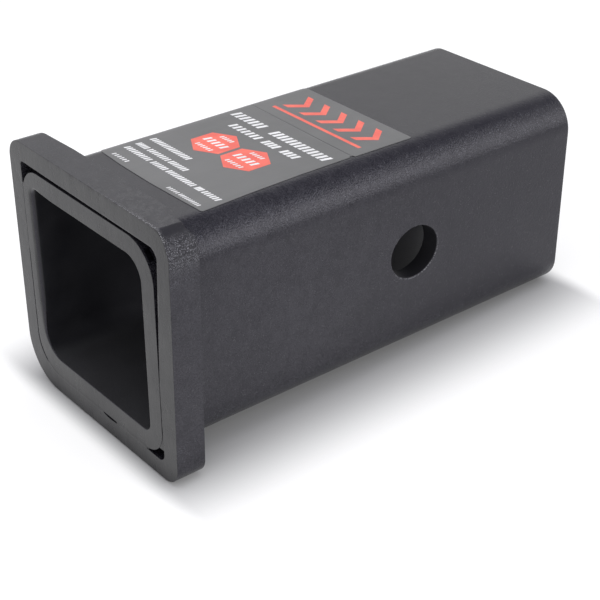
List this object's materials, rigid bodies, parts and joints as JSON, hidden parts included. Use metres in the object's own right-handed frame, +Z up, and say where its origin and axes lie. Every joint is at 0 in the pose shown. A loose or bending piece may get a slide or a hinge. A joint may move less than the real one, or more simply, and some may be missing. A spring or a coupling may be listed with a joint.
{
  "type": "hitch reducer sleeve",
  "caption": "Black powder-coated square steel sleeve that reduces a receiver to a smaller shank, with a welded stop collar, cross pin holes and a grey label.",
  "frame": {"origin": "centre of the outline in plan, at the level of the collar's underside", "axes": "+Y along the tube from the collared front to the plain rear, +Z up towards the labelled face, +X to the right as seen from the front"},
  "size_m": [0.077, 0.1524, 0.0764],
  "materials": {
    "black_powder_coat": "fine-textured satin powder coat",
    "coated_weld": "powder coat over a rippled weld",
    "grey_label": "satin printed film"
  },
  "bodies": {
    "root": {"sleeve_tube": "black_powder_coat", "collar": "black_powder_coat", "weld_bead": "coated_weld", "label": "grey_label"}
  },
  "joints": []
}
